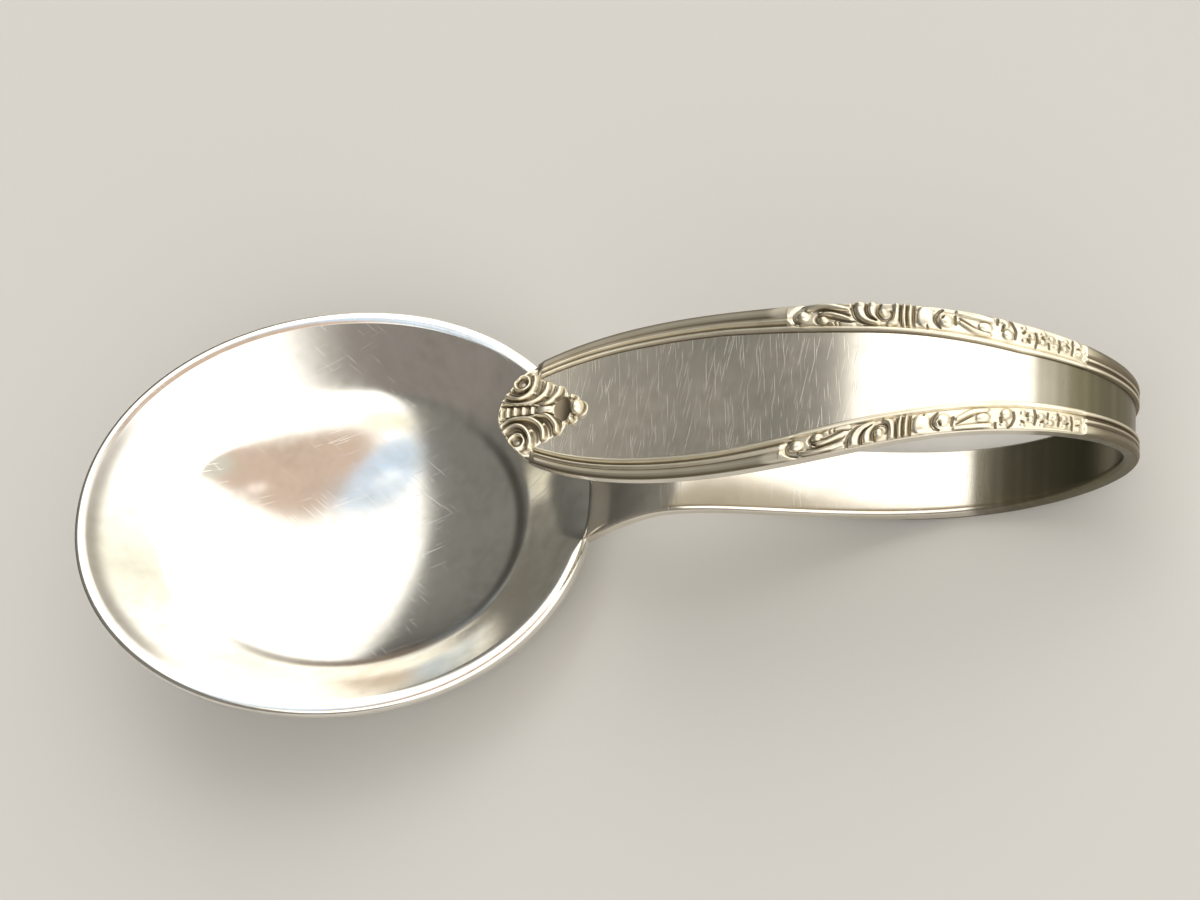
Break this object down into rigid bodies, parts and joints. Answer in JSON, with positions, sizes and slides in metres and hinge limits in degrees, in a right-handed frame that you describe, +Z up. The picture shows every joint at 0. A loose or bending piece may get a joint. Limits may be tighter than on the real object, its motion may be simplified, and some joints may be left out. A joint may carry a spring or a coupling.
{
  "type": "baby spoon",
  "caption": "Silver baby spoon with a wide oval bowl and a flat handle bent back over it in a finger loop, with reeded borders, scrollwork and a shell at the tip.",
  "frame": {"origin": "middle of the worn spot under the bowl, on the surface that the spoon rests on", "axes": "+X along the handle away from the bowl, +Y across the spoon, +Z up from the surface it rests on"},
  "size_m": [0.0901, 0.0364, 0.0222],
  "materials": {
    "polished_silver": "polished silver with fine use scratches",
    "worn_silver": "silver worn satin by handling",
    "relief_silver": "struck relief, bright crests over tarnished hollows"
  },
  "bodies": {
    "root": {"bowl": "polished_silver", "neck": "polished_silver", "shank": "polished_silver", "bend": "polished_silver", "panel": "worn_silver", "near_border": "relief_silver", "far_border": "relief_silver", "near_scrolls": "relief_silver", "far_scrolls": "relief_silver", "shell": "relief_silver"}
  },
  "joints": []
}
